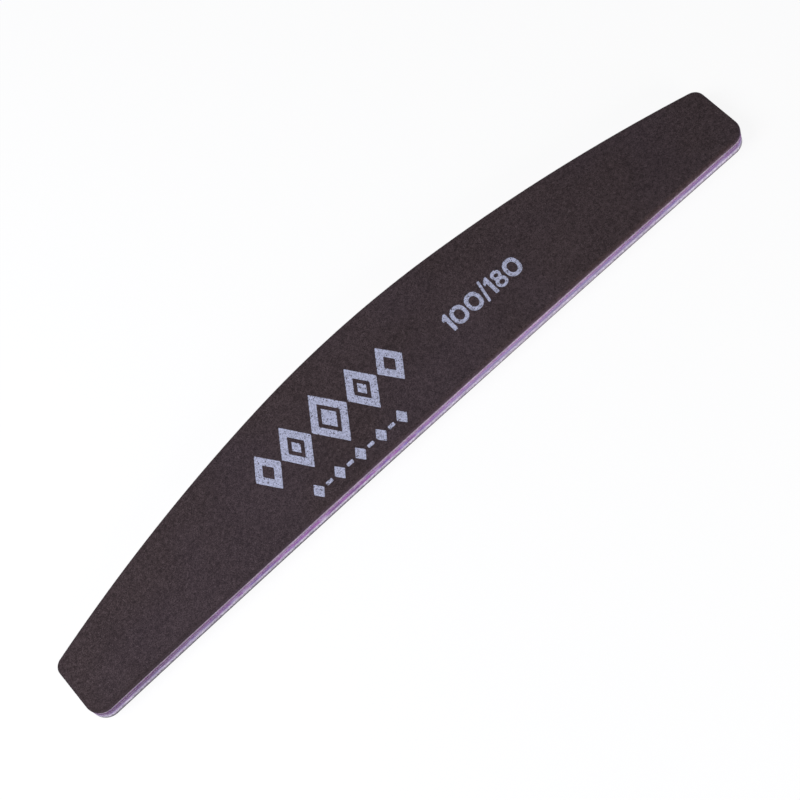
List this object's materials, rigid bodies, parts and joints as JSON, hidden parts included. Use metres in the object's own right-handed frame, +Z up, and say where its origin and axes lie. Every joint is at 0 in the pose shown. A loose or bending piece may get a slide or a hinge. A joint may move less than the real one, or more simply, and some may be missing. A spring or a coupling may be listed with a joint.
{
  "type": "nail file",
  "caption": "Half-moon nail file board with a straight long edge, an arched back, a coarse face, a fine face and foam pads bonded to a stiff core plate.",
  "frame": {"origin": "on the underside, in the middle of the length and of the width", "axes": "+X along the length, +Y from the straight long edge towards the arched back, +Z up out of the coarse face"},
  "size_m": [0.18, 0.03, 0.004],
  "materials": {
    "coarse_grit": "coarse abrasive grain in brown resin, matte",
    "fine_grit": "fine abrasive grain in brown resin, matte",
    "backing_paper": "resin-soaked paper, matte",
    "adhesive_film": "clear double-sided film, satin",
    "foam": "pale lilac closed-cell foam, matte",
    "core_plastic": "violet moulded sheet, satin on its cut edge",
    "print_ink": "lavender grey screen print, speckled by the grit"
  },
  "bodies": {
    "root": {"grit_coat_100": "coarse_grit", "backing_paper_upper": "backing_paper", "adhesive_film_upper_outer": "adhesive_film", "foam_pad_upper": "foam", "adhesive_film_upper_inner": "adhesive_film", "core_plate": "core_plastic", "adhesive_film_lower_inner": "adhesive_film", "foam_pad_lower": "foam", "adhesive_film_lower_outer": "adhesive_film", "backing_paper_lower": "backing_paper", "grit_coat_180": "fine_grit"}
  },
  "joints": []
}
